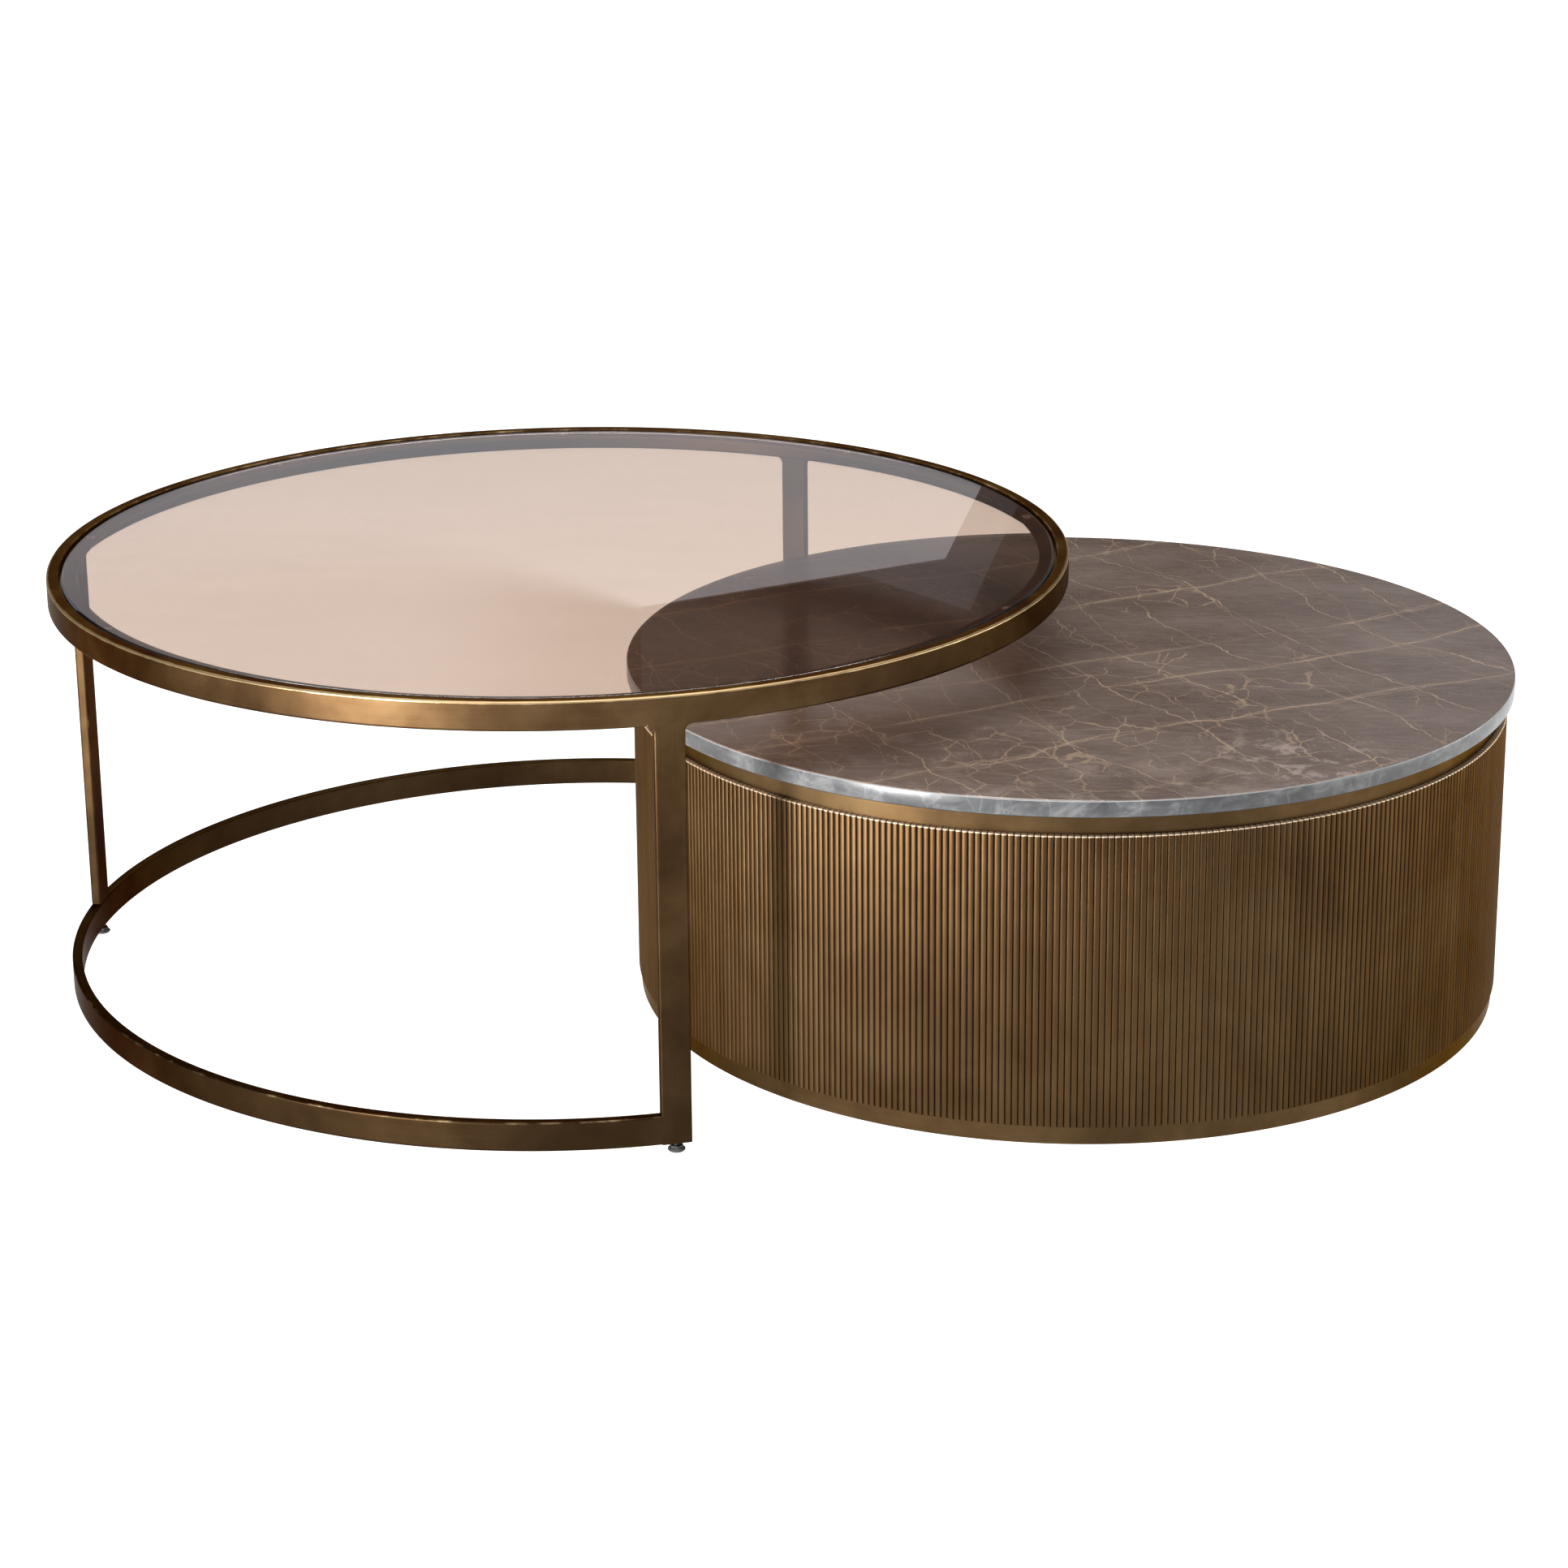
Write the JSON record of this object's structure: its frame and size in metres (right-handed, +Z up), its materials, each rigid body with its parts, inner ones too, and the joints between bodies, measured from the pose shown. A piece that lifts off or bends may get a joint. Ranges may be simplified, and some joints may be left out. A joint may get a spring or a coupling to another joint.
{
  "type": "nesting coffee tables",
  "caption": "Round nesting coffee tables: a tall open bronze frame with a tinted glass top, and a low ribbed bronze drum with a marble top that slides in beneath it.",
  "frame": {"origin": "on the floor, under the middle of the whole footprint with the tables half nested", "axes": "+X is the way the low drum slides out of the tall frame, +Z is up"},
  "size_m": [1.4338, 1, 0.428],
  "materials": {
    "frame_bronze": "antique bronze plating on steel bar, brushed and mottled",
    "ribbed_bronze": "antique bronze plating on ribbed sheet",
    "band_bronze": "antique bronze plating on smooth sheet, satin",
    "bronze_glass": "bronze tinted float glass, polished edge",
    "marble": "polished brown-grey marble with tan veins",
    "clear_bumper": "clear soft bumper",
    "foot_plastic": "black nylon",
    "glide_nylon": "dark nylon",
    "zinc_steel": "zinc plated",
    "screw_steel": "yellow zinc plated",
    "plywood": "birch plywood, unfinished"
  },
  "bodies": {
    "tall_table": {"top_rim": "frame_bronze", "glass_ledge": "frame_bronze", "glass_pads": "clear_bumper", "leg_front": "frame_bronze", "leg_left": "frame_bronze", "leg_rear": "frame_bronze", "base_ring": "frame_bronze"},
    "glass": {"glass_top": "bronze_glass"},
    "foot_front": {"foot_pad_front": "foot_plastic"},
    "foot_left": {"foot_pad_left": "foot_plastic"},
    "foot_rear": {"foot_pad_rear": "foot_plastic"},
    "stud_front": {"foot_stud_front": "zinc_steel"},
    "stud_left": {"foot_stud_left": "zinc_steel"},
    "stud_rear": {"foot_stud_rear": "zinc_steel"},
    "marble": {"marble_top": "marble"},
    "drum_table": {"marble_pads": "clear_bumper", "ribbed_skin": "ribbed_bronze", "upper_band": "band_bronze", "lower_band": "band_bronze", "inner_wall": "plywood", "top_board": "plywood", "top_ring": "plywood", "base_board": "plywood", "top_screws": "screw_steel", "base_screws": "screw_steel", "glide_screws": "screw_steel", "batten_1": "plywood", "batten_2": "plywood", "batten_3": "plywood", "batten_4": "plywood", "batten_5": "plywood", "batten_6": "plywood", "glide_1": "glide_nylon", "glide_2": "glide_nylon", "glide_3": "glide_nylon", "glide_4": "glide_nylon", "glide_5": "glide_nylon", "glide_6": "glide_nylon"}
  },
  "joints": [
    {"name": "drum_slide", "type": "slide", "parent": "tall_table", "child": "drum_table", "axis": [1, 0, 0], "range_m": [-0.5, 0.5]},
    {"name": "marble_lift", "type": "slide", "parent": "drum_table", "child": "marble", "axis": [0, 0, 1], "range_m": [0, 0.06]},
    {"name": "glass_lift", "type": "slide", "parent": "tall_table", "child": "glass", "axis": [0, 0, 1], "range_m": [0, 0.1]},
    {"name": "foot_front_height", "type": "slide", "parent": "tall_table", "child": "foot_front", "axis": [0, 0, 1], "range_m": [-0.01, 0.002]},
    {"name": "stud_front_turn", "type": "hinge", "parent": "foot_front", "child": "stud_front", "pos_m": [-0.03678, -0.46194, 0], "axis": [0, 0, 1], "range_deg": [-3600, 720]},
    {"name": "foot_left_height", "type": "slide", "parent": "tall_table", "child": "foot_left", "axis": [0, 0, 1], "range_m": [-0.01, 0.002]},
    {"name": "stud_left_turn", "type": "hinge", "parent": "foot_left", "child": "stud_left", "pos_m": [-0.7089, 0, 0], "axis": [0, 0, 1], "range_deg": [-3600, 720]},
    {"name": "foot_rear_height", "type": "slide", "parent": "tall_table", "child": "foot_rear", "axis": [0, 0, 1], "range_m": [-0.01, 0.002]},
    {"name": "stud_rear_turn", "type": "hinge", "parent": "foot_rear", "child": "stud_rear", "pos_m": [-0.03678, 0.46194, 0], "axis": [0, 0, 1], "range_deg": [-3600, 720]}
  ],
  "couplings": [
    {"joint": "stud_front_turn", "follows": "foot_front_height", "rad_per_m": 6283.2},
    {"joint": "stud_left_turn", "follows": "foot_left_height", "rad_per_m": 6283.2},
    {"joint": "stud_rear_turn", "follows": "foot_rear_height", "rad_per_m": 6283.2}
  ]
}
